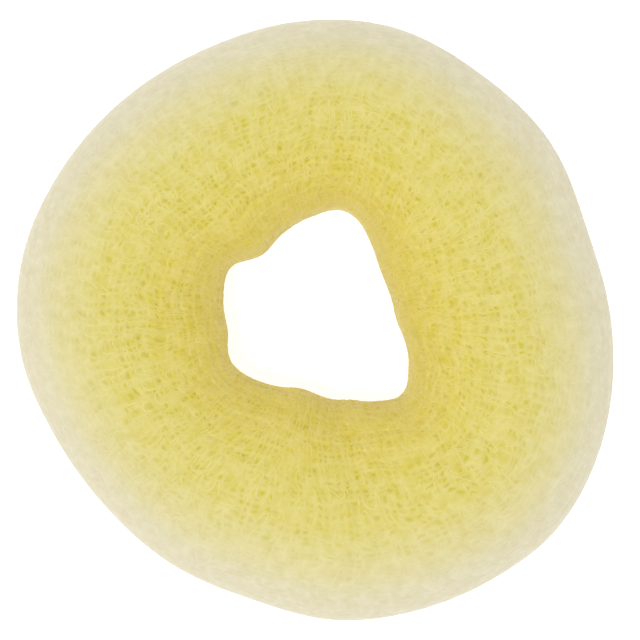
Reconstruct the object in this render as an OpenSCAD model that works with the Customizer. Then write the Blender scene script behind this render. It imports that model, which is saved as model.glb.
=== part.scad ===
// Hair donut: a soft ring of knitted mesh that a ponytail is drawn through and wrapped around.
// A knitted tube is rolled on itself into a ring. Its outermost turn is one piece here, a wall
// whose two edges nearly meet low inside the hole. The turns under it are pressed together and
// are one soft ring. The ring lies flat, with its hole upright.

/* [Ring] */
// Mean outer diameter of the ring
ring_d = 90; // [75:1:110]
// Mean diameter of the hole for the ponytail
hole_d = 28; // [20:1:34]
// Height of the ring where it is fullest
ring_h = 31; // [24:1:40]
// Width of the band that the soft ring is pressed flat on where it rests
rest_w = 12; // [4:0.5:14]

/* [Knit] */
// Thickness of the outermost turn of the knit
turn_t = 2.2; // [1:0.1:3]
// Gap between the outermost turn and the turns under it
turn_gap = 0.3; // [0.2:0.05:1]
// Gap between the two edges of the outermost turn
edge_gap = 0.6; // [0.4:0.1:2]
// Place of those edges, as a share of the way from the hole's middle down to the floor band
edge_share = 0.5; // [0.2:0.05:0.8]

/* [Hidden] */

// Fullness of the section: 2 is an ellipse, more is squarer
fullness = 2.25;
// Sections round the ring, and steps of a section from the edges to the floor band and from
// there over the outside and the top back to the edges
section_count = 60;
low_steps = 4;
high_steps = 20;

// The ring's form as it lies, a row for each section where the form changes.
// angle: degrees round the ring. outer: share of the outer radius. hole: share of the hole's
// radius. height: share of the ring's height.
SECTIONS = [
    // angle, outer, hole, height
    [0, 0.985, 0.86, 0.985],
    [18, 0.955, 0.84, 0.965],
    [38, 0.985, 0.885, 0.975],
    [56, 0.990, 1.03, 0.985],
    [75, 1.013, 1.205, 0.970],
    [93, 1.000, 1.08, 0.985],
    [111, 0.978, 0.98, 0.995],
    [129, 0.976, 0.89, 1.000],
    [149, 0.985, 1.065, 0.985],
    [168, 0.999, 0.99, 0.975],
    [186, 0.987, 0.935, 0.985],
    [204, 0.948, 0.985, 0.970],
    [222, 0.932, 0.90, 0.980],
    [240, 0.940, 0.80, 0.990],
    [257, 0.949, 0.74, 1.000],
    [274, 0.998, 0.805, 0.990],
    [292, 1.025, 0.92, 0.975],
    [305, 1.043, 1.06, 0.985],
    [319, 1.061, 1.21, 0.990],
    [336, 1.038, 1.08, 0.995]
];
ANGLE = 0;
OUTER = 1;
HOLE = 2;
HEIGHT = 3;

// Soft folds where the knit is gathered into the hole.
// angle: degrees round the ring. at: degrees round the section. depth: share of the section's
// half width. half_angle: degrees round the ring from the fold's middle to its side.
FOLDS = [
    // angle, at, depth, half_angle
    [62, 150, 0.07, 16],
    [146, 155, 0.05, 14],
    [212, 145, 0.06, 18],
    [284, 150, 0.08, 16],
    [322, 160, 0.05, 14]
];
FOLD_AT = 1;
FOLD_DEPTH = 2;
FOLD_HALF_ANGLE = 3;
// Degrees round the section from a fold's middle to its end
fold_end_angle = 65;

// Smooth bump that is 1 at no distance and 0 from half_width on
function bump(distance, half_width) =
    let (s = max(0, 1 - abs(distance) / half_width))
    s * s * (3 - 2 * s);

// Turn from one angle to another, between -180 and 180 degrees
function turn_between(from, to) = ((to - from) % 360 + 540) % 360 - 180;

// Row of SECTIONS counted round the ring, so that the first row follows the last
function row(i) = SECTIONS[(i + len(SECTIONS)) % len(SECTIONS)];

// Degrees from one row of SECTIONS to the next
function row_span(i) = (row(i + 1)[ANGLE] - row(i)[ANGLE] + 360) % 360;

// Value of a column of SECTIONS at an angle round the ring, on a smooth closed curve through the
// rows, whose slope at each row is that of the line between its two neighbours
function form(a, column) =
    let (
        i = max([for (k = [0:len(SECTIONS) - 1]) if (SECTIONS[k][ANGLE] <= a) k]),
        s = (a - row(i)[ANGLE]) / row_span(i),
        start = row(i)[column],
        end = row(i + 1)[column],
        rise_at_start = (end - row(i - 1)[column]) * row_span(i) / (row_span(i - 1) + row_span(i)),
        rise_at_end = (row(i + 2)[column] - start) * row_span(i) / (row_span(i) + row_span(i + 1))
    )
    start * (1 + 2 * s) * (1 - s) * (1 - s)
    + rise_at_start * s * (1 - s) * (1 - s)
    + end * s * s * (3 - 2 * s)
    - rise_at_end * s * s * (1 - s);

function outer_r(a) = ring_d / 2 * form(a, OUTER);
function hole_r(a) = hole_d / 2 * form(a, HOLE);
function middle_r(a) = (outer_r(a) + hole_r(a)) / 2;
function half_width(a) = (outer_r(a) - hole_r(a)) / 2;

// Coordinate of the unit section for a sine or a cosine, squared off by the fullness
function full(x) = sign(x) * pow(abs(x), 2 / fullness);

// Half the part of the section, in degrees, that the floor presses flat
function floor_half_angle(a) = asin(pow(rest_w / 2 / half_width(a), fullness / 2));

// Size of the section next to a fold, as a share of its size without one
function fold_scale(a, t) =
    1 - max([for (f = FOLDS)
        f[FOLD_DEPTH]
        * bump(turn_between(f[ANGLE], a), f[FOLD_HALF_ANGLE])
        * bump(turn_between(f[FOLD_AT], t), fold_end_angle)]);

// The middle of the ring's outline stands over the origin
section_angles = [for (i = [0:section_count - 1]) i * 360 / section_count];
outline_x = [for (a = section_angles) outer_r(a) * cos(a)];
outline_y = [for (a = section_angles) outer_r(a) * sin(a)];
middle_x = (max(outline_x) + min(outline_x)) / 2;
middle_y = (max(outline_y) + min(outline_y)) / 2;

// Point at an angle a round the ring and t round its section, a depth under the surface.
// t is 0 on the outside, 90 on top, 180 in the hole and 270 on the floor.
function ring_point(a, t, depth) =
    let (
        floor_cut = full(cos(floor_half_angle(a))),
        rise = (max(full(sin(t)), -floor_cut) + floor_cut) / (1 + floor_cut),
        fold = fold_scale(a, t),
        r = middle_r(a) + (half_width(a) - depth) * full(cos(t)) * fold,
        height = ring_h * form(a, HEIGHT) - 2 * depth
    )
    [
        r * cos(a) - middle_x,
        r * sin(a) - middle_y,
        depth + height * (0.5 + (rise - 0.5) * fold)
    ];

// Places round the section at an angle round the ring, in degrees: from one edge of the
// outermost turn down to the floor band, across it, then over the outside and the top to the
// other edge
function section_places(a) =
    let (
        floor_start = 270 - floor_half_angle(a),
        floor_end = 270 + floor_half_angle(a),
        edges_at = 180 + edge_share * (floor_start - 180),
        edge_half_angle = asin(edge_gap / 2 / (half_width(a) - turn_t)),
        low_edge = edges_at + edge_half_angle,
        high_edge = edges_at - edge_half_angle + 360
    )
    concat(
        [for (j = [0:low_steps]) low_edge + (floor_start - low_edge) * j / low_steps],
        [for (j = [0:high_steps]) floor_end + (high_edge - floor_end) * j / high_steps]
    );

// Closed skin through one loop of points for each section, round the whole ring
module closed_ring(loops) {
    loop_len = len(loops[0]);
    count = len(loops);
    points = [for (section = loops) each section];
    faces = [
        for (i = [0:count - 1])
            for (j = [0:loop_len - 1])
                let (
                    next_i = (i + 1) % count,
                    next_j = (j + 1) % loop_len,
                    here = i * loop_len + j,
                    beside = next_i * loop_len + j,
                    above = i * loop_len + next_j,
                    across = next_i * loop_len + next_j
                )
                each [[here, across, beside], [here, above, across]]
    ];
    polyhedron(points = points, faces = faces, convexity = 6);
}

// Outermost turn of the knit, a wall round the section that is open between its two edges
module outer_mesh() {
    color([0.88, 0.83, 0.52])
        closed_ring([
            for (a = section_angles)
                let (places = section_places(a), last = len(places) - 1)
                concat(
                    [for (t = places) ring_point(a, t, 0)],
                    [for (j = [0:last]) ring_point(a, places[last - j], turn_t)]
                )
        ]);
}

// Turns under it, pressed together into one soft ring
module inner_roll() {
    color([0.84, 0.77, 0.38])
        closed_ring([
            for (a = section_angles)
                [for (t = section_places(a)) ring_point(a, t, turn_t + turn_gap)]
        ]);
}

outer_mesh();
inner_roll();
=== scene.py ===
"""Hair donut: a soft ring of knitted mesh, rolled on itself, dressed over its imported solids.

The ring's form is a function of two angles, one round the ring and one round its section, by the
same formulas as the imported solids'. Each yarn is a path on that form, and each mesh is worked out
from whole arrays. Lengths are in metres and angles in degrees.
"""

import logging
from abc import ABC, abstractmethod
from collections.abc import Mapping, Sequence
from dataclasses import dataclass
from enum import Enum, IntEnum
from functools import cached_property, partial
from typing import Any, ClassVar, NamedTuple

import bpy
import numpy as np
from bpy.types import Material, Node, NodeSocket, NodeTree, Object
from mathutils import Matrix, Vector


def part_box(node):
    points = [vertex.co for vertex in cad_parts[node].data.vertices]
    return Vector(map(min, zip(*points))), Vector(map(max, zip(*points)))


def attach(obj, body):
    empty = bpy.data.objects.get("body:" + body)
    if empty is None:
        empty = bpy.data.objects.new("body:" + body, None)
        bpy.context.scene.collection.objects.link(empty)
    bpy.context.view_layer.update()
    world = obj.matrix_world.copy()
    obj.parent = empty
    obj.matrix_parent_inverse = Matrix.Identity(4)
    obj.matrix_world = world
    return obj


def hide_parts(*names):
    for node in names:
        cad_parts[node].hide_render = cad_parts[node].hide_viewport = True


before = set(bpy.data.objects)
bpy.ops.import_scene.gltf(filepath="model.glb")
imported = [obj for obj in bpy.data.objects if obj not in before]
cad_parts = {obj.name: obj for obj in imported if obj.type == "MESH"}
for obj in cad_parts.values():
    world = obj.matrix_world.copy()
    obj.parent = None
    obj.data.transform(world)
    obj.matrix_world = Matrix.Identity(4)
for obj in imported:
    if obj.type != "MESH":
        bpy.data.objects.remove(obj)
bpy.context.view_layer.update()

LOG = logging.getLogger("hair_donut")
MM = 0.001
# Every degree of a turn
DEGREES = np.arange(0, 360, 1.0)
Array = np.ndarray
Pair = tuple[float, float]


class Slot(Enum):
    """The record's material slots."""

    KNITTED = "knitted_mesh"
    ROLLED = "rolled_mesh"


class Stands(Enum):
    """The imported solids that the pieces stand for."""

    OUTER = "outer_mesh"
    INNER = "inner_roll"


class NoiseUse(IntEnum):
    """What each of the grid's noises is for. Its number is added to the grid's seed."""

    OWN_ACROSS = 0
    OWN_UP = 1
    PATCH_ACROSS = 2
    PATCH_UP = 3
    OPENNESS = 4
    RIPPLE = 5
    THINNESS = 6


class SectionRow(NamedTuple):
    """The ring's form at one angle round it, as shares of its sizes."""

    angle: float
    outer: float
    hole: float
    height: float


class FoldRow(NamedTuple):
    """A soft fold: its angles round the ring and the section, its depth and its half angle."""

    angle: float
    at: float
    depth: float
    half_angle: float


def linear(colour: str) -> tuple[float, float, float, float]:
    """Turn an sRGB hex value into a linear colour.

    A channel c is c / 12.92 up to 0.04045, and ((c + 0.055) / 1.055) to the power 2.4 above.

    Args:
        colour: Six hex digits after a hash sign.

    Returns:
        Linear red, green and blue, and an alpha of 1.
    """
    channels = np.array([*bytes.fromhex(colour[1:])]) / 255
    low, high = channels / 12.92, ((channels + 0.055) / 1.055) ** 2.4
    red, green, blue = np.where(channels <= 0.04045, low, high)
    return float(red), float(green), float(blue), 1.0


def unit(vectors: Array) -> Array:
    """Vectors divided by their lengths, along the last axis."""
    return vectors / np.linalg.norm(vectors, axis=-1, keepdims=True)


def smooth(share: Array) -> Array:
    """Smooth step s * s * (3 - 2 * s), where s is the share kept between 0 and 1."""
    s = np.clip(share, 0, 1)
    return s * s * (3 - 2 * s)


def bump(distance: Array, half_width: float) -> Array:
    """Smooth bump that is 1 at no distance and 0 from the half width on."""
    return smooth(1 - np.abs(distance) / half_width)


def turn_between(start: float, end: Array) -> Array:
    """Turn from one angle to another, between -180 and 180 degrees."""
    return (end - start + 180) % 360 - 180


def facing(place: Array) -> Array:
    """How far out the ring faces at an angle round its section: 1 outside and -1 in the hole."""
    return np.cos(np.radians(place))


def woolly_noise(rng: np.random.Generator, shape: tuple[int, int], widths: Pair) -> Array:
    """Smooth noise that repeats in both directions.

    White noise is blurred by a Gaussian. In its Fourier transform, a wave of f waves a cell is
    multiplied by exp(-2 * (pi * f * width) ** 2), and the result is scaled to a deviation of 1.

    Args:
        rng: The seeded source of the white noise.
        shape: Rows and columns of the field.
        widths: The Gaussian's deviation along the rows and the columns, in cells.

    Returns:
        A field of that shape.
    """
    waves = np.fft.fft2(rng.standard_normal(shape))
    down = np.fft.fftfreq(shape[0])[:, None] * widths[0]
    along = np.fft.fftfreq(shape[1])[None, :] * widths[1]
    noise = np.fft.ifft2(waves * np.exp(-2 * np.pi**2 * (down**2 + along**2))).real
    return noise / noise.std()


def between_steps(values: Array, i: Array, j: Array) -> Array:
    """Value between the steps of a field that repeats in both directions.

    The four values round a place are weighted by how near each is, in straight lines.

    Args:
        values: Values at whole steps along the first two axes.
        i: Places along the first axis, in steps.
        j: Places along the second axis, in steps.

    Returns:
        The value at each place.
    """
    first_i, first_j = np.floor(i).astype(int), np.floor(j).astype(int)
    more_axes = (...,) + (None,) * (values.ndim - 2)
    s, t = (i - first_i)[more_axes], (j - first_j)[more_axes]
    here, ahead = first_i % values.shape[0], (first_i + 1) % values.shape[0]
    below, above = first_j % values.shape[1], (first_j + 1) % values.shape[1]
    return (
        values[here, below] * (1 - s) * (1 - t)
        + values[ahead, below] * s * (1 - t)
        + values[here, above] * (1 - s) * t
        + values[ahead, above] * s * t
    )


@dataclass(frozen=True)
class RingForm:
    """The soft ring's form as it lies, as a function of two angles and a depth.

    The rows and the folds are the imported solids' own, apart from the hole. Its shares and the
    folds' depths follow the photograph more closely here, by up to 0.7 mm. The diameter and the
    height come from the solids' box.
    """

    diameter: float
    height: float
    hole_diameter: float = 28 * MM
    rest_width: float = 12 * MM
    fullness: float = 2.25
    rows: tuple[SectionRow, ...] = tuple(
        SectionRow(*row)
        for row in (
            # angle, outer, hole, height
            (0, 0.985, 0.86, 0.985), (18, 0.955, 0.84, 0.965),
            (38, 0.985, 0.875, 0.975), (56, 0.990, 1.015, 0.985),
            (75, 1.013, 1.195, 0.970), (93, 1.000, 1.095, 0.985),
            (111, 0.978, 0.98, 0.995), (129, 0.976, 0.89, 1.000),
            (149, 0.985, 1.04, 0.985), (168, 0.999, 1.0, 0.975),
            (186, 0.987, 0.935, 0.985), (204, 0.948, 0.97, 0.970),
            (222, 0.932, 0.88, 0.980), (240, 0.940, 0.775, 0.990),
            (257, 0.949, 0.715, 1.000), (274, 0.998, 0.775, 0.990),
            (292, 1.025, 0.88, 0.975), (305, 1.043, 1.035, 0.985),
            (319, 1.061, 1.165, 0.990), (336, 1.038, 1.08, 0.995),
        )
    )
    folds: tuple[FoldRow, ...] = (
        FoldRow(62, 150, 0.035, 16),
        FoldRow(146, 155, 0.025, 14),
        FoldRow(212, 145, 0.03, 18),
        FoldRow(284, 150, 0.04, 16),
        FoldRow(322, 160, 0.025, 14),
    )
    fold_end_angle: float = 65

    @classmethod
    def in_box(cls, low: Array, high: Array) -> "RingForm":
        """Make the form whose outline fills a box.

        Args:
            low: The box's lowest corner.
            high: The box's highest corner.

        Returns:
            The form, with its diameter and height taken from the box.
        """
        unsized = cls(diameter=2, height=1)
        width = np.ptp(unsized.outline()[0])
        fullest = unsized.column(DEGREES, "height").max()
        return cls(diameter=2 * (high[0] - low[0]) / width, height=(high[2] - low[2]) / fullest)

    def column(self, angle: Array, name: str) -> Array:
        """Share at an angle round the ring, on a smooth closed curve through the rows.

        Between two rows it is the cubic with their two shares as its ends, whose slope at each
        row is that of the straight line between the rows on its two sides.

        Args:
            angle: Angles round the ring.
            name: The field of SectionRow to read.

        Returns:
            The share at each angle.
        """
        places = np.array([row.angle for row in self.rows])
        shares = np.array([getattr(row, name) for row in self.rows])
        spans = (np.roll(places, -1) - places) % 360
        slopes = (np.roll(shares, -1) - np.roll(shares, 1)) / (spans + np.roll(spans, 1))
        i = np.searchsorted(places, np.mod(angle, 360), side="right") - 1
        j = (i + 1) % len(places)
        s = (np.mod(angle, 360) - places[i]) / spans[i]
        return (
            shares[i] * (1 + 2 * s) * (1 - s) ** 2
            + slopes[i] * spans[i] * s * (1 - s) ** 2
            + shares[j] * s**2 * (3 - 2 * s)
            - slopes[j] * spans[i] * s**2 * (1 - s)
        )

    def full(self, x: Array) -> Array:
        """Coordinate of the unit section: a sine or cosine to the power 2 / fullness, signed."""
        return np.sign(x) * np.abs(x) ** (2 / self.fullness)

    def outer_r(self, angle: Array) -> Array:
        """Distance from the ring's own middle to its outside, at an angle round it."""
        return self.diameter / 2 * self.column(angle, "outer")

    def half_width(self, angle: Array) -> Array:
        """Half the distance from the hole to the outside, at an angle round the ring."""
        return (self.outer_r(angle) - self.hole_diameter / 2 * self.column(angle, "hole")) / 2

    def outline(self) -> Array:
        """Outline seen from above, at each degree: its x and y from the ring's own middle."""
        around = np.radians(DEGREES)
        return self.outer_r(DEGREES) * np.array([np.cos(around), np.sin(around)])

    def middle(self) -> Array:
        """Middle of the outline's box, which stands over the origin."""
        outline = self.outline()
        return (outline.max(axis=1) + outline.min(axis=1)) / 2

    def point(self, angle: Array, place: Array, depth: Array) -> Array:
        """Points of the ring, a depth under its surface.

        The section is a squared ellipse, cut flat by the floor: across, the full cosine of the
        place times the half width, and up, the full sine, from the cut at the floor to the top
        at the ring's height. Next to a fold both shrink by the fold's depth.

        Args:
            angle: Angles round the ring.
            place: Angles round the section: 0 outside, 90 on top, 180 in the hole.
            depth: Depths under the surface.

        Returns:
            Points, with one more axis than the arguments.
        """
        angle, place, depth = np.broadcast_arrays(angle, place, depth)
        half_width = self.half_width(angle)
        around, about = np.radians(angle), np.radians(place)
        cut = (1 - (self.rest_width / 2 / half_width) ** self.fullness) ** (1 / self.fullness)
        rise = (np.maximum(self.full(np.sin(about)), -cut) + cut) / (1 + cut)
        folds = [
            fold.depth
            * bump(turn_between(fold.angle, angle), fold.half_angle)
            * bump(turn_between(fold.at, place), self.fold_end_angle)
            for fold in self.folds
        ]
        shrunk = 1 - np.maximum.reduce(folds)
        middle_r = self.outer_r(angle) - half_width
        r = middle_r + (half_width - depth) * self.full(np.cos(about)) * shrunk
        tall = self.height * self.column(angle, "height") - 2 * depth
        up = depth + tall * (0.5 + (rise - 0.5) * shrunk)
        x, y = self.middle()
        return np.stack([r * np.cos(around) - x, r * np.sin(around) - y, up], axis=-1)

    def place_at_share(self, share: Array, start: float) -> Array:
        """Angle round the section at a share of the way round it, measured along its length.

        The length is summed along a section of the ring's mean form, in steps of a degree.

        Args:
            share: Shares of the way round, from 0 to 1, which may run past either end.
            start: Angle round the section at which the share is 0.

        Returns:
            Angles round the section, from the start on.
        """
        places = start + np.arange(0, 361, 1.0)
        mean_row = min(self.rows, key=lambda row: abs(row.outer - 1) + abs(row.hole - 1))
        line = self.point(mean_row.angle, places, 0)
        steps = np.linalg.norm(np.diff(line, axis=0), axis=-1)
        run = np.concatenate([[0], np.cumsum(steps)]) / steps.sum()
        whole = np.floor(share)
        return np.interp(share - whole, run, places) + 360 * whole


@dataclass(frozen=True)
class SoftRing:
    """The ring's form, swelled by the turns pressed together in it. Every piece lies on it."""

    form: RingForm
    # How far the swell moves the surface, at even steps of the angles round ring and section
    moves: Array
    # Degrees to each side over which the surface's direction is read
    reach: float = 3.0

    def point(self, angle: Array, place: Array, depth: Array) -> Array:
        """Points of the swelled ring, a depth under its surface and never under the floor.

        Args:
            angle: Angles round the ring.
            place: Angles round the section.
            depth: Depths under the surface.

        Returns:
            Points, with one more axis than the arguments.
        """
        angle, place, depth = np.broadcast_arrays(angle, place, depth)
        around, across = self.moves.shape[:2]
        points = self.form.point(angle, place, depth)
        points += between_steps(self.moves, angle * around / 360, place * across / 360)
        points[..., 2] = np.maximum(points[..., 2], 0)
        return points

    def normal(self, angle: Array, place: Array, depth: Array) -> Array:
        """Outward directions of the ring's surface.

        Each is the cross product of the form's change with the angle round the ring and its
        change with the angle round the section.

        Args:
            angle: Angles round the ring.
            place: Angles round the section.
            depth: Depths under the surface.

        Returns:
            Unit vectors, with one more axis than the arguments.
        """
        point, reach = self.form.point, self.reach
        round_ring = point(angle + reach, place, depth) - point(angle - reach, place, depth)
        round_section = point(angle, place + reach, depth) - point(angle, place - reach, depth)
        return unit(np.cross(round_ring, round_section))


@dataclass(frozen=True)
class KnitGrid:
    """The grid of loops on the ring: columns round the ring, rows round its section."""

    ring: SoftRing
    columns: int = 76
    rows: int = 51
    row_height: float = 1.89 * MM
    # Angle round the section of the tube's two edges, which nearly meet low inside the hole
    edge_place: float = 214
    # How far loops stray from an even grid, in columns or rows: each on its own, and in patches
    stray: float = 0.14
    patch_stray: float = 0.15
    patch_size: Pair = (2.5, 2.5)
    loop_size: Pair = (0.7, 0.7)
    # Facing from which the knit is stretched flatter, and how much of its relief it loses at most
    loose_until: float = -0.2
    most_lost: float = 0.8
    # Facing from which the knit is gathered into the hole, and the long ripples there: their
    # depth, and their size in columns and rows
    gathered_from: float = -0.4
    ripple_depth: float = 0.1 * MM
    ripple_size: Pair = (4.0, 0.5)
    # Waves that each of the grid's noises sums
    waves: int = 160
    seed: int = 500

    def angle(self, across: Array) -> Array:
        """Angle round the ring of a place counted in columns."""
        return across * 360 / self.columns

    def place(self, up: Array) -> Array:
        """Angle round the section of a place counted in rows from the edges."""
        return self.ring.form.place_at_share(up / self.rows, self.edge_place)

    def column_width(self, across: Array, up: Array) -> Array:
        """Width of a column: the way round the ring at a place of the grid, by the columns."""
        there = self.ring.point(self.angle(across), self.place(up), 0)
        return 2 * np.pi * np.hypot(there[..., 0], there[..., 1]) / self.columns

    def noise(self, use: NoiseUse, size: Pair, across: Array, up: Array) -> Array:
        """Smooth noise of the grid's own, which repeats round the ring and round its section.

        It is the sum of sqrt(2 / waves) * cos(2 pi (m * across / columns + n * up / rows) + p)
        over the waves, whose whole numbers m and n are normal with a deviation of the grid's
        size over 2 pi times the hills' size, and whose phases p are even.

        Args:
            use: What the noise is for.
            size: Size of its hills, in columns and in rows.
            across: Places along the rows, in columns.
            up: Places along the columns, in rows.

        Returns:
            The noise at each place, with a mean of 0 and a deviation of 1.
        """
        rng = np.random.default_rng(self.seed + use)
        spread = np.array([self.columns, self.rows]) / (2 * np.pi * np.array(size))
        counts = np.rint(rng.normal(0, spread, (self.waves, 2)))
        phases = rng.uniform(0, 2 * np.pi, self.waves)
        total = np.zeros(np.broadcast_shapes(np.shape(across), np.shape(up)))
        for (m, n), phase in zip(counts, phases):
            total += np.cos(2 * np.pi * (m * across / self.columns + n * up / self.rows) + phase)
        return total * np.sqrt(2 / self.waves)

    def slack(self, place: Array) -> Array:
        """Share of its relief that the knit keeps: all in the hole, least round the outside."""
        stretched = smooth((facing(place) - self.loose_until) / (1 - self.loose_until))
        return 1 - self.most_lost * stretched

    def gathered(self, place: Array) -> Array:
        """How tightly the knit is gathered: 0 over the top and outside, 1 in the hole."""
        return smooth((self.gathered_from - facing(place)) / (1 + self.gathered_from))

    def ripple(self, across: Array, up: Array) -> Array:
        """Depth of the long ripples along the hole, where the rows are pushed together."""
        hills = self.noise(NoiseUse.RIPPLE, self.ripple_size, across, up)
        return self.ripple_depth * self.gathered(self.place(up)) * hills

    def strayed(self, across: Array, up: Array) -> tuple[Array, Array]:
        """How far the loops at a place lie off the even grid.

        Args:
            across: Places along the rows, in columns.
            up: Places along the columns, in rows.

        Returns:
            How far in columns, and how far in rows.
        """
        return tuple(
            self.stray * self.noise(own, self.loop_size, across, up)
            + self.patch_stray * self.noise(patch, self.patch_size, across, up)
            for own, patch in (
                (NoiseUse.OWN_ACROSS, NoiseUse.PATCH_ACROSS),
                (NoiseUse.OWN_UP, NoiseUse.PATCH_UP),
            )
        )


@dataclass(frozen=True)
class Felt:
    """The surface of the turns pressed together, with a pit in each loop."""

    grid: KnitGrid
    depth: float = 0.3 * MM
    # Points along a column and along a row
    steps: int = 5
    # Deepest pit, and a pit's half width where it starts and where it ends, in columns or rows
    deepest: float = 0.3 * MM
    inner: float = 0.05
    outer: float = 0.42
    # Where a pit's middle lies in its loop, in columns and rows
    middle: Pair = (0.5, 0.4)
    # How open the loops are on average, and how much more or less from loop to loop and where
    # the knit lies thin, with the size of both noises, in columns and rows
    mean_open: float = 0.68
    open_stray: float = 0.25
    open_size: Pair = (0.45, 0.45)
    thin_stray: float = 0.45
    thin_size: Pair = (0.24, 0.24)
    # How far the pits close where the knit is gathered most
    shut: float = 0.45

    def places(self) -> tuple[Array, Array]:
        """Columns and rows of the surface's points."""
        across, up = np.indices((self.grid.columns * self.steps, self.grid.rows * self.steps))
        return across / self.steps, up / self.steps

    def offset(self, across: Array, up: Array) -> Array:
        """What to add to a place of the grid to count from pit to pit, in columns and in rows."""
        off_across, off_up = self.grid.strayed(across, up)
        return np.stack([-off_across, -off_up], axis=-1) - self.middle

    def thin(self, across: Array, up: Array) -> Array:
        """Noise of where the knit lies thin, so that the turns under it show deeper yellow."""
        return self.grid.noise(NoiseUse.THINNESS, self.thin_size, across, up)

    def open_share(self, across: Array, up: Array) -> Array:
        """How open the loops at a place are, by chance, stretch and gathering.

        Args:
            across: Places along the rows, in columns.
            up: Places along the columns, in rows.

        Returns:
            The share, from 0 to 1.
        """
        place = self.grid.place(up)
        wide = self.open_stray * self.grid.noise(NoiseUse.OPENNESS, self.open_size, across, up)
        chance = np.clip(self.mean_open + wide + self.thin_stray * self.thin(across, up), 0, 1)
        return chance * self.grid.slack(place) * (1 - self.shut * self.grid.gathered(place))

    @cached_property
    def depths(self) -> Array:
        """Depths of the surface's points.

        A pit is as deep as the deepest times how open its loop is, falls off smoothly between
        its inner and its outer half width, and has the ripples' depth added.

        Returns:
            The depths, columns by rows.
        """
        across, up = self.places()
        cell = np.stack([across, up], axis=-1) + self.offset(across, up)
        far = np.linalg.norm(cell - np.rint(cell), axis=-1)
        fallen = smooth((far - self.inner) / (self.outer - self.inner))
        pit = self.deepest * self.open_share(across, up) * (1 - fallen)
        return self.depth + pit + self.grid.ripple(across, up)

    def depth_at(self, across: Array, up: Array) -> Array:
        """Depth of the surface at a place of the grid, on the faces between its points."""
        return between_steps(self.depths, across * self.steps, up * self.steps)


def make_piece(
    name: str,
    points: Array,
    faces: tuple[Array, ...],
    traits: Mapping[str, Array],
    normals: Array | None = None,
    uvs: Array | None = None,
) -> Object:
    """Put whole arrays of points and faces into an object of smooth faces at the origin.

    Args:
        name: The object's name.
        points: Points, with their coordinates along the last axis.
        faces: Arrays of point numbers, a face a row, in order round it as seen from outside.
        traits: Named values, one for each point, which the materials read.
        normals: A shading direction for each point, where it isn't the mesh's own.
        uvs: A place on the pattern for each corner of each face.

    Returns:
        The object, linked into the scene.
    """
    corners = np.concatenate([rows.ravel() for rows in faces])
    sizes = np.concatenate([np.full(len(rows), rows.shape[1]) for rows in faces])
    mesh = bpy.data.meshes.new(name)
    mesh.vertices.add(points.size // 3)
    mesh.vertices.foreach_set("co", points.astype(np.float32).ravel())
    mesh.loops.add(len(corners))
    mesh.loops.foreach_set("vertex_index", corners.astype(np.int32))
    mesh.polygons.add(len(sizes))
    starts = np.concatenate([[0], np.cumsum(sizes)[:-1]])
    mesh.polygons.foreach_set("loop_start", starts.astype(np.int32))
    mesh.polygons.foreach_set("use_smooth", np.ones(len(sizes), bool))
    mesh.update(calc_edges=True)
    if normals is not None:
        mesh.normals_split_custom_set_from_vertices(normals.reshape(-1, 3).astype(np.float32))
    for trait, values in traits.items():
        layer = mesh.attributes.new(trait, "FLOAT", "POINT")
        layer.data.foreach_set("value", values.astype(np.float32).ravel())
    if uvs is not None:
        mesh.uv_layers.new(name="knit").uv.foreach_set("vector", uvs.astype(np.float32).ravel())
    thing = bpy.data.objects.new(name, mesh)
    bpy.context.scene.collection.objects.link(thing)
    return thing


def ring_quads(shape: tuple[int, int]) -> Array:
    """Faces of a surface that closes both ways, whose points are numbered along its two axes.

    Args:
        shape: How many points lie along each axis.

    Returns:
        Four point numbers a row.
    """
    numbers = np.arange(shape[0] * shape[1]).reshape(shape)
    above, beside = np.roll(numbers, -1, axis=1), np.roll(numbers, -1, axis=0)
    beyond = np.roll(above, -1, axis=0)
    return np.stack([numbers, beside, beyond, above], axis=-1).reshape(-1, 4)


class Lines(NamedTuple):
    """Where fibres run: their columns and rows, and their rise out of the felt."""

    across: Array
    up: Array
    rise: Array


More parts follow.
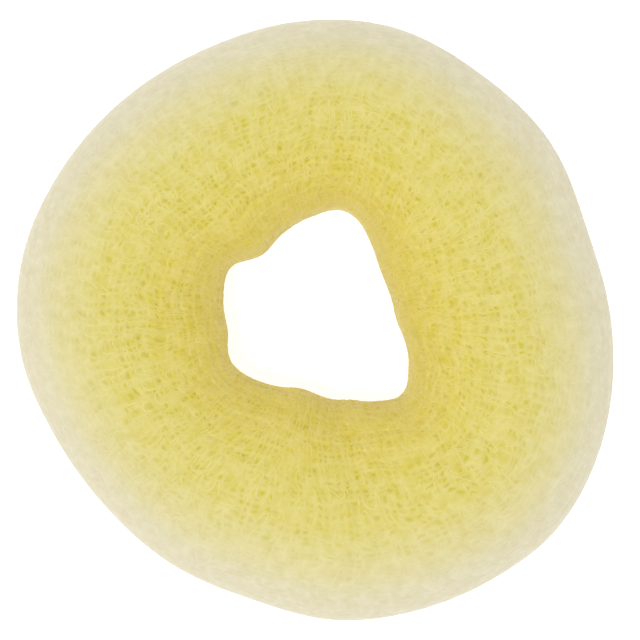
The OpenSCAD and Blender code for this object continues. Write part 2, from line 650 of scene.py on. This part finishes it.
@dataclass(frozen=True)
class Fibres:
    """Thin nylon fibres carried along paths, pressed flat on the felt."""

    # Whether each path's end joins its start
    closed: bool
    sides: int = 3
    # A fibre's radius outwards, as a share of the one to its sides
    flatness: float = 0.35
    # Share of the direction out of the ring in the shading: light scattered inside a fibre evens
    # out the shade between its sides
    softness: float = 0.9

    def build(self, name: str, felt: Felt, lines: Lines, radius: Array, shade: Array) -> Object:
        """Lay the fibres on the felt, as one object.

        At each point of a path stand the direction outwards, squared to the path, and the
        direction beside both. The fibre's point at an angle is the path's point plus the radius
        times the cosine times the flatness of the first and the sine of the second. Its shading
        direction is a blend of the one away from the path and the one out of the ring.

        Args:
            name: The object's name.
            felt: What they lie on.
            lines: Where they run, a fibre a row.
            radius: Their radius to the sides at each point.
            shade: How much of their own colour they show at each point.

        Returns:
            The object, linked into the scene.
        """
        grid = felt.grid
        angle, place = grid.angle(lines.across), grid.place(lines.up)
        depth = felt.depth_at(lines.across, lines.up) - lines.rise
        paths = grid.ring.point(angle, place, depth)
        outward = grid.ring.normal(angle, place, depth)
        if self.closed:
            ahead = unit(np.roll(paths, -1, axis=1) - np.roll(paths, 1, axis=1))
        else:
            ahead = unit(np.gradient(paths, axis=1))
        up = unit(outward - np.sum(outward * ahead, axis=-1, keepdims=True) * ahead)
        side = np.cross(ahead, up)
        turn = np.arange(self.sides)[:, None] * 2 * np.pi / self.sides
        ring = up[:, :, None] * self.flatness * np.cos(turn) + side[:, :, None] * np.sin(turn)
        points = paths[:, :, None] + ring * radius[:, :, None, None]
        away = unit(points - paths[:, :, None])
        normals = unit((1 - self.softness) * away + self.softness * outward[:, :, None])
        points[..., 2] = np.maximum(points[..., 2], 0)
        numbers = np.arange(points.size // 3).reshape(points.shape[:3])
        beside, further = np.roll(numbers, -1, axis=2), np.roll(numbers, -1, axis=1)
        quads = np.stack([numbers, beside, np.roll(beside, -1, axis=1), further], axis=-1)
        caps = np.concatenate([numbers[:, 0, ::-1], numbers[:, -1, :]])
        faces = (quads,) if self.closed else (quads[:, :-1], caps)
        faces = tuple(rows.reshape(-1, rows.shape[-1]) for rows in faces)
        traits = {"facing": facing(place), "shade": shade}
        each = {trait: np.repeat(values, self.sides) for trait, values in traits.items()}
        return make_piece(name, points, faces, each, normals)


@dataclass(frozen=True)
class Swell:
    """The push of the rolled turns from inside: the ring's form blown up as cloth."""

    form: RingForm
    depth: float = 0.3 * MM
    cap: float = 0.4 * MM
    around: int = 120
    across: int = 40
    frames: int = 20
    pressure: float = 4.0
    # The cloth solver's own settings suit pieces near a metre, so the ring is swelled at this
    # many times its size
    solver_scale: float = 10.0

    def soft_ring(self) -> SoftRing:
        """Blow the form up by pressure, without gravity, and cap each point's move.
        """
        shape = (self.around, self.across)
        i, j = np.indices(shape)
        start = self.form.point(i * 360 / self.around, j * 360 / self.across, self.depth)
        skin = make_piece("skin", start * self.solver_scale, (ring_quads(shape),), {})
        cloth = skin.modifiers.new("swell", "CLOTH")
        cloth.settings.use_pressure = True
        cloth.settings.uniform_pressure_force = self.pressure
        cloth.settings.effector_weights.gravity = 0
        cloth.point_cache.frame_start = 1
        cloth.point_cache.frame_end = self.frames
        for number in range(1, self.frames + 1):
            bpy.context.scene.frame_set(number)
        swelled = skin.evaluated_get(bpy.context.evaluated_depsgraph_get()).data
        end = np.empty(start.size, np.float32)
        swelled.vertices.foreach_get("co", end)
        moves = end.reshape(start.shape) / self.solver_scale - start
        bpy.context.scene.frame_set(1)
        bpy.data.meshes.remove(skin.data)
        length = np.linalg.norm(moves, axis=-1, keepdims=True)
        LOG.info("the ring swelled by up to %.2f mm", length.max() / MM)
        return SoftRing(self.form, moves * (self.cap / np.maximum(length, self.cap)))


@dataclass(frozen=True)
class LoopShape:
    """One knitted loop, in shares of the cell of its row and column."""

    # From the loop's feet to its head, in rows, so that heads hook through the row above
    height: float = 1.1
    # How far the legs lean back under the head, and how much closer they stand than half a
    # column, both in columns
    lean: float = 0.05
    pinch: float = 0.11
    # How far heads and feet lie behind the legs' middle
    relief: float = 0.02 * MM


class Filament(NamedTuple):
    """One filament of a yarn: its radius, and how far it winds from the yarn's middle."""

    radius: float
    spread: float


@dataclass(frozen=True)
class Yarn:
    """A crimped yarn: filaments that wind round each other."""

    # Real ones are many and a few hundredths of a millimetre thick, too fine to show, so two
    # thick ones stand for them
    filaments: tuple[Filament, ...] = (
        Filament(0.11 * MM, 0.05 * MM),
        Filament(0.09 * MM, 0.16 * MM),
    )
    samples_per_loop: int = 11
    # Each filament's own crimp, and the length of its waves in loops
    crimp: float = 0.11 * MM
    crimp_length: float = 0.09
    # Share of their crimp and spread that shows outwards, as the yarn is pressed flat
    rise: float = 0.25
    # Turns of the filaments round each other along a whole row, how far they stray from an even
    # winding, in turns, and over how many loops
    turns: int = 24
    turn_stray: float = 0.12
    turn_length: float = 0.5

    def noise(self, rng: np.random.Generator, shape: tuple[int, int], length: float) -> Array:
        """Smooth noise along each row, apart from the other rows, of a length in loops."""
        return woolly_noise(rng, shape, (0, length * self.samples_per_loop))


@dataclass(frozen=True)
class KnitPart(ABC):
    """A part of the ring that is made of the knit and lies on the felt."""

    felt: Felt
    # The record's slot for it, and the imported solids that it replaces
    slot: ClassVar[Slot] = Slot.KNITTED
    stands: ClassVar[tuple[Stands, ...]] = (Stands.OUTER,)

    @abstractmethod
    def build(self) -> list[Object]:
        """Make the part's objects, linked into the scene."""

    def dress(self, material: Material) -> list[Object]:
        """Build the objects, give them their material, attach them to the root and hide the solids
        that they stand for.

        Args:
            material: The material of all of them.

        Returns:
            The objects.
        """
        pieces = self.build()
        for piece in pieces:
            piece.data.materials.append(material)
            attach(piece, "root")
            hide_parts(*(solid.value for solid in self.stands))
        return pieces


@dataclass(frozen=True)
class KnitTurn(KnitPart):
    """One turn of the knit: rows of loops that each run once round the ring."""

    name: str
    bands: int
    seed: int
    yarn: Yarn = Yarn()
    loop: LoopShape = LoopShape()
    fibres: Fibres = Fibres(closed=True)
    # How far yarns stray in and out, over how many rows and loops, and how much deeper they lie
    # where the knit is stretched flattest
    stray_rise: float = 0.03 * MM
    stray_rows: float = 0.6
    stray_loops: float = 0.4
    sink: float = 0.035 * MM
    # How far the middle of a filament rises out of the felt at most, so that no gap shows
    highest: float = 0.012 * MM
    # How much a filament shows of its own colour: on average, how much more or less along it and
    # over how many loops, and how much less where the knit lies thin
    mean_shade: float = 0.5
    shade_stray: float = 0.25
    shade_length: float = 0.3
    thinned: float = 0.3

    def row_lines(self, rng: np.random.Generator) -> Lines:
        """Work out where each row's yarn runs.

        Along a row, w counts columns from loop to loop. Across, the yarn lies at
        w + lean * sin(4 pi w) - pinch * sin(2 pi w) columns. Up, it lies half the loop's height
        times cos(2 pi w) from the row's middle, and it rises by -relief * cos(4 pi w), so that
        the legs lie in front. The grid's stray moves the first two, and smooth noise the rise.

        Args:
            rng: The seeded source of the noise.

        Returns:
            The lines, a row of the arrays for each row of loops.
        """
        grid, loop, per_loop = self.felt.grid, self.loop, self.yarn.samples_per_loop
        row, sample = np.indices((grid.rows, grid.columns * per_loop))
        w = sample / per_loop
        across = w + loop.lean * np.sin(4 * np.pi * w) - loop.pinch * np.sin(2 * np.pi * w)
        up = row + 0.5 + loop.height / 2 * np.cos(2 * np.pi * w)
        off_across, off_up = grid.strayed(across, up)
        across, up = across + off_across, up + off_up
        slack = grid.slack(grid.place(up))
        widths = (self.stray_rows, self.stray_loops * per_loop)
        stray = self.stray_rise * woolly_noise(rng, w.shape, widths)
        rise = slack * (stray - loop.relief * np.cos(4 * np.pi * w)) - (1 - slack) * self.sink
        return Lines(across, up, rise)

    def filament_lines(self, rng: np.random.Generator, rows: Lines) -> Lines:
        """Work out where each filament of each row runs.

        A filament lies round its row's line at its spread, at an angle that grows evenly along
        the row with smooth noise added, and it has a crimp of its own to the side and outwards.

        Args:
            rng: The seeded source of the noise.
            rows: Where each row's yarn runs.

        Returns:
            The lines, as rows by filaments by points.
        """
        grid, yarn, shape = self.felt.grid, self.yarn, rows.across.shape
        width, height = grid.column_width(rows.across, rows.up), grid.row_height
        way = [np.gradient(rows.across, axis=1) * width, np.gradient(rows.up, axis=1) * height]
        ahead = unit(np.stack(way, axis=-1))
        slack = grid.slack(grid.place(rows.up))
        start = rng.random((shape[0], 1))
        lines = []
        for number, filament in enumerate(yarn.filaments):
            side, front = (
                yarn.crimp * yarn.noise(rng, shape, yarn.crimp_length) for _ in range(2)
            )
            wander = yarn.turn_stray * yarn.noise(rng, shape, yarn.turn_length)
            turns = yarn.turns * np.linspace(0, 1, shape[1], endpoint=False) + wander
            turn = 2 * np.pi * (start + turns + number / len(yarn.filaments))
            side += filament.spread * np.cos(turn)
            front += filament.spread * np.sin(turn)
            lines.append(
                Lines(
                    rows.across - ahead[..., 1] / width * side,
                    rows.up + ahead[..., 0] / height * side,
                    rows.rise + yarn.rise * slack * front,
                )
            )
        return Lines(*(np.stack(parts, axis=1) for parts in zip(*lines)))

    def build(self) -> list[Object]:
        """Make the turn's filaments, in bands of rows round the section.

        Returns:
            One object for each band.
        """
        rng = np.random.default_rng(self.seed)
        yarn = self.yarn
        lines = self.filament_lines(rng, self.row_lines(rng))
        count, length = lines.across[..., 0].size, lines.across.shape[2]
        noise = yarn.noise(rng, (count, length), self.shade_length).reshape(lines.across.shape)
        shade = self.mean_shade + self.shade_stray * noise
        shade -= self.thinned * self.felt.thin(lines.across, lines.up)
        thickness = np.array([filament.radius for filament in yarn.filaments])
        radius = np.broadcast_to(thickness[:, None], shade.shape)
        rise = np.minimum(lines.rise, self.highest)
        edges = np.linspace(0, self.felt.grid.rows, self.bands + 1).round().astype(int)
        pieces = []
        for number, (first, last) in enumerate(zip(edges, edges[1:]), start=1):
            *band, thick, shown = (
                values[first:last].reshape(-1, length)
                for values in (lines.across, lines.up, rise, radius, shade)
            )
            name = f"{self.name}_{number}"
            pieces.append(self.fibres.build(name, self.felt, Lines(*band), thick, shown))
        return pieces


@dataclass(frozen=True)
class LooseFibres(KnitPart):
    """Single fibres that have worked loose and lie in shallow arcs over the knit."""

    fibres: Fibres = Fibres(closed=False)
    count: int = 1800
    samples: int = 7
    radius: float = 0.06 * MM
    shortest: float = 1.2 * MM
    longest: float = 3.2 * MM
    tallest: float = 0.05 * MM
    # The flattest arc's share of the tallest one's height is this squared
    flattest: float = 0.15
    # How far fibres turn from end to end, as a deviation in radians
    bend: float = 1.6
    # How far into a half wave of the sine the taper starts, so that the ends aren't sharp
    blunt: float = 0.04
    # Least and most that they show of the filaments' own colour
    shades: Pair = (0.5, 1.0)
    seed: int = 31

    def build(self) -> list[Object]:
        """Make the fibres as one object.

        A fibre starts at a random place of the knit and runs in a random direction, bending by
        a random curve. It leaves the felt at one end, rises as sin(pi s) and goes back in.

        Returns:
            The object, in a list.
        """
        rng = np.random.default_rng(self.seed)
        grid, each = self.felt.grid, (self.count, 1)
        start_up = rng.random(each) * grid.rows
        start_across = rng.random(each) * grid.columns
        heading = rng.random(each) * 2 * np.pi
        bend = rng.normal(0, self.bend, each)
        reach = rng.uniform(self.shortest, self.longest, each)
        rise = rng.uniform(self.flattest, 1, each) ** 2 * self.tallest
        s = np.linspace(0, 1, self.samples)[None, :]
        course = heading + bend * (s - 0.5)
        step = reach / (self.samples - 1)
        column = grid.column_width(start_across, start_up)
        across = start_across + np.cumsum(np.cos(course), axis=1) * step / column
        up = start_up + np.cumsum(np.sin(course), axis=1) * step / grid.row_height
        rise = grid.slack(grid.place(up)) * rise * np.sin(np.pi * s)
        taper = np.sqrt(np.sin(np.pi * (self.blunt + (1 - 2 * self.blunt) * s))) * self.radius
        radius = np.broadcast_to(taper, up.shape)
        shade = np.broadcast_to(rng.uniform(*self.shades, each), up.shape)
        lines = Lines(across, up, rise)
        return [self.fibres.build("loose_fibres", self.felt, lines, radius, shade)]


@dataclass(frozen=True)
class PressedRoll(KnitPart):
    """The turns pressed together: the swelled ring, with a pit in each loop."""

    slot: ClassVar[Slot] = Slot.ROLLED
    stands: ClassVar[tuple[Stands, ...]] = (Stands.INNER, Stands.OUTER)

    def build(self) -> list[Object]:
        """Make the ring on the grid of loops, with its pits.

        Its UV map counts columns and rows from pit to pit.

        Returns:
            The object, in a list.
        """
        felt, grid = self.felt, self.felt.grid
        across, up = felt.places()
        place = grid.place(up)
        points = grid.ring.point(grid.angle(across), place, felt.depths)
        quads = ring_quads(across.shape)
        i, j = np.indices(across.shape)
        columns = np.stack([i, i + 1, i + 1, i], axis=-1)
        rows = np.stack([j, j, j + 1, j + 1], axis=-1)
        corners = np.stack([columns, rows], axis=-1).reshape(-1, 4, 2)
        uvs = corners / felt.steps + felt.offset(across, up).reshape(-1, 2)[quads]
        traits = {"facing": facing(place), "open": felt.open_share(across, up)}
        return [make_piece("pressed_roll", points, (quads,), traits, uvs=uvs)]

    def dress(self, material: Material) -> list[Object]:
        """Dress the ring as every part is dressed.

        Args:
            material: Its material.

        Returns:
            The object, in a list.
        """
        roll = super().dress(material)
        return roll


ATTRIBUTE = "ShaderNodeAttribute"
MAP_RANGE = "ShaderNodeMapRange"
MATH = "ShaderNodeMath"
MIX = "ShaderNodeMix"
VECTOR_MATH = "ShaderNodeVectorMath"
# Colour inputs of a Mix node
MIX_FROM = 6
MIX_TO = 7
# Where most values of a noise texture lie
NOISE_RANGE = (0.35, 0.65)


# A node's inputs: by name or number, or the first ones in order
Inputs = Mapping[str | int, Any] | Sequence[Any]


def connect(node: Node, inputs: Inputs) -> None:
    """Fill a node's inputs.

    Args:
        node: The node.
        inputs: For each input a value, a socket to link from, or a node to link from, by its
            first output that is in use.
    """
    sockets = inputs.items() if isinstance(inputs, Mapping) else enumerate(inputs)
    for socket, value in sockets:
        if isinstance(value, Node):
            value = next(output for output in value.outputs if output.enabled)
        if isinstance(value, NodeSocket):
            node.id_data.links.new(value, node.inputs[socket])
        else:
            node.inputs[socket].default_value = value


def add_node(tree: NodeTree, kind: str, inputs: Inputs = (), **settings: Any) -> Node:
    """Add a node with its inputs and its settings.

    Args:
        tree: The node tree.
        kind: The node's type, as Blender names it.
        inputs: Its inputs, as connect takes them.
        settings: The node's own properties.

    Returns:
        The node.
    """
    node = tree.nodes.new(kind)
    for name, value in settings.items():
        setattr(node, name, value)
    connect(node, inputs)
    return node


def new_material(name: str) -> tuple[Material, Node]:
    """Make a material of one Principled node.

    Args:
        name: The material's name.

    Returns:
        The material, and its Principled node.
    """
    material = bpy.data.materials.new(name)
    material.use_nodes = True
    tree = material.node_tree
    tree.nodes.clear()
    surface = add_node(tree, "ShaderNodeBsdfPrincipled")
    add_node(tree, "ShaderNodeOutputMaterial", {"Surface": surface})
    return material, surface


@dataclass(frozen=True)
class StretchAndLightColours:
    """The knit's colour from the hole to the outside.

    The dye is one yellow. Gathered at the hole, much of it lies over itself and looks golden,
    and it is darker there as painted shade of the deep hole. Stretched round the outside the
    knit is so thin that it looks almost cream, and it is paler there as painted light of the
    white surroundings shining through it.
    """

    colours: tuple[str, ...]
    # How far out the knit faces where it has each colour
    facings: tuple[float, ...] = (-1.0, -0.7, -0.3, 0.1, 0.5, 0.75, 1.0)

    def ramp(self, tree: NodeTree) -> Node:
        """Add the nodes that turn the points' facing into a colour.

        Args:
            tree: The node tree.

        Returns:
            The node whose output is the colour.
        """
        trait = add_node(tree, ATTRIBUTE, attribute_name="facing")
        share = add_node(tree, MAP_RANGE, (trait.outputs["Fac"], -1.0, 1.0))
        ramp = add_node(tree, "ShaderNodeValToRGB", {"Fac": share})
        elements = ramp.color_ramp.elements
        places = [(out + 1) / 2 for out in self.facings]
        for place in places[1:-1]:
            elements.new(place)
        for element, place, colour in zip(elements, places, self.colours):
            element.position = place
            element.color = linear(colour)
        return ramp


# Each ramp runs from the hole to the outside: darker near the hole partly as painted shade, paler
# round the outside partly as painted light
FILAMENT_COLOURS = StretchAndLightColours(
    ("#D9C86E", "#D9C872", "#D8C971", "#D6CC7A", "#DAD198", "#DCD5B5", "#E0D7BF")
)
PRESSED_COLOURS = StretchAndLightColours(
    ("#D3C35D", "#D0C05B", "#D0C260", "#D2C56D", "#D6CC95", "#D7CFAB", "#D6CDA9")
)
# Deeper yellow of the turns seen through the open meshes, darker as painted shade in the holes
PIT_AND_SHADE_COLOURS = StretchAndLightColours(
    ("#C0AD32", "#BEAC28", "#C1B12E", "#C4B63E", "#D0C47E", "#D0C790", "#CCC18C")
)
# Painted glow: emission standing in for light that comes through the gathered knit round the hole
# from its other side
PAINTED_GLOW_COLOURS = StretchAndLightColours(
    ("#5B5220", "#474018", "#0E0C03", "#000000", "#000000"), (-1.0, -0.7, -0.2, 0.1, 1.0)
)


@dataclass(frozen=True)
class DyedNylon:
    """Nylon dyed pale yellow: matt, with a soft shine at its edges.

    Its painted glow stands in for light coming through the knit round the hole.
    """

    name: str
    roughness: float
    ior: float = 1.53
    sheen: float = 0.2

    def dyed(self) -> tuple[Material, Node]:
        """Make a material with everything but its colour.

        Returns:
            The material, and its Principled node.
        """
        material, surface = new_material(self.name)
        inputs = {
            "Roughness": self.roughness,
            "IOR": self.ior,
            "Sheen Weight": self.sheen,
            # Painted glow round the hole, for light coming through the knit
            "Emission Color": PAINTED_GLOW_COLOURS.ramp(material.node_tree),
            "Emission Strength": 1.0,
        }
        connect(surface, inputs)
        return material, surface


@dataclass(frozen=True)
class NylonYarn(DyedNylon):
    """Crimped nylon filament yarn, each filament smooth and pressed flat."""

    # Where a filament looks sunk in the felt and where it looks clear of it, in shades
    clear: Pair = (0.1, 0.9)

    def material(self) -> Material:
        """Make the material.

        A filament dives into the felt and comes up again, so its colour runs between the
        felt's and its own with the points' shade.

        Returns:
            The material.
        """
        material, surface = self.dyed()
        tree = material.node_tree
        shade = add_node(tree, ATTRIBUTE, attribute_name="shade")
        shown = (shade.outputs["Fac"], *self.clear)
        clear = add_node(tree, MAP_RANGE, shown, interpolation_type="SMOOTHSTEP")
        sunk, own = PRESSED_COLOURS.ramp(tree), FILAMENT_COLOURS.ramp(tree)
        mixed = {"Factor": clear, MIX_FROM: sunk, MIX_TO: own}
        colour = add_node(tree, MIX, mixed, data_type="RGBA")
        connect(surface, {"Base Color": colour})
        return material


class NoiseTexture(NamedTuple):
    """A noise texture: its size, its detail, and how far it strays the net, in columns or rows."""

    size: float
    detail: float
    stray: float = 0.0


@dataclass(frozen=True)
class PressedKnit(DyedNylon):
    """Many turns of the same nylon knit, pressed together, with a pit in each loop."""

    # Single fibres, the felt's blotches and the net's wander. The noise for the fibres is
    # coarser than real ones, which are too fine to show
    fibre: NoiseTexture = NoiseTexture(0.35 * MM, 3.0)
    blotch: NoiseTexture = NoiseTexture(2.0 * MM, 3.0, 0.4)
    wander: NoiseTexture = NoiseTexture(0.9 * MM, 1.0, 0.4)
    # Height of the single fibres, and how much of it shows
    fibre_height: float = 0.15 * MM
    fibre_strength: float = 0.15
    # Meshes of the net in a column or row: a loop's legs and its head part it in two
    meshes: float = 2.0
    # Inner and outer half width of the pit in a mesh, and width of the strands' soft edges, as
    # shares of a mesh
    pit_edge: Pair = (0.08, 0.46)
    strand_width: float = 0.3
    # From where to where in a mesh's chance, 0 to 1, its pit goes from closed to open
    pit_chance: Pair = (-0.2, 0.8)
    # Least and most that the strands show of the filaments' own colour
    strand_share: Pair = (0.1, 0.8)
    # Value and saturation of the felt where it is darkest and where it is palest
    value: Pair = (0.94, 1.01)
    saturation: Pair = (1.09, 0.96)

    def material(self) -> Material:
        """Make the material.

        The piece's own UV map counts columns and rows from pit to pit. Strayed by noise and
        multiplied, its whole parts number the meshes of the net, and its fractions are the
        place in a mesh. The nearer to a mesh's middle, the deeper yellow it is, each mesh by
        its own chance and where its loop is open: the turns beneath show through, and the
        darkness there is painted shade in the hole. The borders are pale strands, which fade
        here and there. Noise makes the felt blotchy, and a finer one raises single fibres.

        Returns:
            The material.
        """
        material, surface = self.dyed()
        tree = material.node_tree
        add = partial(add_node, tree)
        coordinates = add("ShaderNodeTexCoord").outputs
        fibres, blotches, wander = (
            add(
                "ShaderNodeTexNoise",
                {"Vector": coordinates["Object"], "Scale": 1 / noise.size, "Detail": noise.detail},
            )
            for noise in (self.fibre, self.blotch, self.wander)
        )

        net = coordinates["UV"]
        for texture, noise in ((blotches, self.blotch), (wander, self.wander)):
            stray = (texture.outputs["Color"], (noise.stray, noise.stray, 0), net)
            net = add(VECTOR_MATH, stray, operation="MULTIPLY_ADD")
        middle = 0.5 - (self.blotch.stray + self.wander.stray) / 2 * self.meshes
        counted = (net, (self.meshes,) * 3, (middle,) * 3)
        net = add(VECTOR_MATH, counted, operation="MULTIPLY_ADD")
        number = add(VECTOR_MATH, (net,), operation="FLOOR")
        inside = add(VECTOR_MATH, (net,), operation="FRACTION")
        centred = add(VECTOR_MATH, (inside, (0.5,) * 3), operation="SUBTRACT")
        off = add(VECTOR_MATH, (centred,), operation="ABSOLUTE")
        across, up, _ = add("ShaderNodeSeparateXYZ", (off,)).outputs
        flat = add("ShaderNodeCombineXYZ", (across, up))
        far = add(VECTOR_MATH, (flat,), operation="LENGTH")

        # Painted shade in each open pit, over the deeper yellow of the turns beneath
        falling = (far, *self.pit_edge, 1.0, 0.0)
        pit = add(MAP_RANGE, falling, interpolation_type="SMOOTHSTEP")
        chance = add("ShaderNodeTexWhiteNoise", (number,), noise_dimensions="2D")
        seen = add(MAP_RANGE, (chance, *self.pit_chance))
        wide = add(ATTRIBUTE, attribute_name="open").outputs["Fac"]
        openness = add(MATH, (seen, wide), operation="MULTIPLY")
        dark = add(MATH, (pit, openness), operation="MULTIPLY")

        out = add(MATH, (across, up), operation="MAXIMUM")
        share = add(MAP_RANGE, (wander, *NOISE_RANGE, *self.strand_share))
        rising = (out, 0.5 - self.strand_width, 0.5, 0.0, share)
        pale = add(MAP_RANGE, rising, interpolation_type="SMOOTHSTEP")
        colour = PRESSED_COLOURS.ramp(tree)
        for factor, colours in ((pale, FILAMENT_COLOURS), (dark, PIT_AND_SHADE_COLOURS)):
            mixed = {"Factor": factor, MIX_FROM: colour, MIX_TO: colours.ramp(tree)}
            colour = add(MIX, mixed, data_type="RGBA")

        value, saturation = (
            add(MAP_RANGE, (blotches, *NOISE_RANGE, *ends))
            for ends in (self.value, self.saturation)
        )
        toned = {"Color": colour, "Saturation": saturation, "Value": value}
        blotchy = add("ShaderNodeHueSaturation", toned)
        raised = {"Height": fibres, "Strength": self.fibre_strength, "Distance": self.fibre_height}
        relief = add("ShaderNodeBump", raised)
        connect(surface, {"Base Color": blotchy, "Normal": relief})
        return material


@dataclass(frozen=True)
class Studio:
    """A white table lit softly from all sides, and a camera straight above the ring."""

    floor_size: float = 4.0
    floor_colour: str = "#ABABAB"
    floor_glow: float = 0.84
    floor_roughness: float = 0.9
    floor_specular: float = 0.2
    sky: float = 0.71
    lamp_power: float = 1.5
    lamp_size: float = 8
    lamp_tilt: float = 9
    lamp_from: float = 220
    lens: float = 180.0
    sensor: float = 36.0
    view_width: float = 95.3 * MM
    view_middle: Pair = (0.75 * MM, 0.0)
    focus_height: float = 16 * MM
    # Nearest and farthest that the camera sees, as shares of its distance from the ring
    reach: Pair = (0.1, 100.0)

    def build(self) -> None:
        """Make the floor, the light and the camera."""
        bpy.context.scene.view_settings.view_transform = "Standard"
        self._floor()
        self._sky()
        self._lamp()
        self._camera()

    def _floor(self) -> None:
        """A plain white acrylic table top that glows a little, as one lit from below does."""
        corners = np.array([[-1, -1, 0], [1, -1, 0], [1, 1, 0], [-1, 1, 0]]) * self.floor_size / 2
        floor = make_piece("floor", corners, (np.arange(4)[None, :],), {})
        material, surface = new_material("white_acrylic_table")
        inputs = {
            "Base Color": linear(self.floor_colour),
            "Roughness": self.floor_roughness,
            "Specular IOR Level": self.floor_specular,
            "Emission Color": linear("#FFFFFF"),
            "Emission Strength": self.floor_glow,
        }
        connect(surface, inputs)
        floor.data.materials.append(material)

    def _sky(self) -> None:
        """White light from all sides."""
        world = bpy.data.worlds.new("white_tent")
        world.use_nodes = True
        background = world.node_tree.nodes["Background"]
        connect(background, {"Color": linear("#FFFFFF"), "Strength": self.sky})
        bpy.context.scene.world = world

    def _lamp(self) -> None:
        """A broad lamp almost straight above, a little to the left, so that no gap looks dark."""
        lamp = bpy.data.lights.new("soft_lamp", "SUN")
        lamp.energy = self.lamp_power
        lamp.angle = np.radians(self.lamp_size)
        thing = bpy.data.objects.new("soft_lamp", lamp)
        thing.rotation_euler = (0.0, np.radians(self.lamp_tilt), np.radians(self.lamp_from))
        bpy.context.scene.collection.objects.link(thing)

    def _camera(self) -> None:
        """A long lens straight above, whose frame is view_width wide at the ring's middle."""
        data = bpy.data.cameras.new("camera")
        data.lens = self.lens
        data.sensor_width = self.sensor
        camera = bpy.data.objects.new("camera", data)
        distance = self.view_width * self.lens / self.sensor
        camera.location = (*self.view_middle, self.focus_height + distance)
        data.clip_start, data.clip_end = np.array(self.reach) * distance
        bpy.context.scene.collection.objects.link(camera)
        bpy.context.scene.camera = camera


def main() -> None:
    """Build the ring from its middle outwards, then the studio round it."""
    low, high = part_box(Stands.OUTER.value)
    form = RingForm.in_box(np.array(low), np.array(high))
    felt = Felt(KnitGrid(Swell(form).soft_ring()))
    pressed = PressedKnit("pressed_nylon_knit", roughness=0.75).material()
    nylon = NylonYarn("crimped_nylon_filament", roughness=0.6).material()
    for part, material in (
        (PressedRoll(felt), pressed),
        (KnitTurn(felt, "outer_turn", bands=4, seed=3), nylon),
        (LooseFibres(felt), nylon),
    ):
        for piece in part.dress(material):
            LOG.info("%s: %d faces", piece.name, len(piece.data.polygons))
    Studio().build()


if __name__ == "__main__":
    logging.basicConfig(level=logging.INFO, format="%(message)s")
    main()
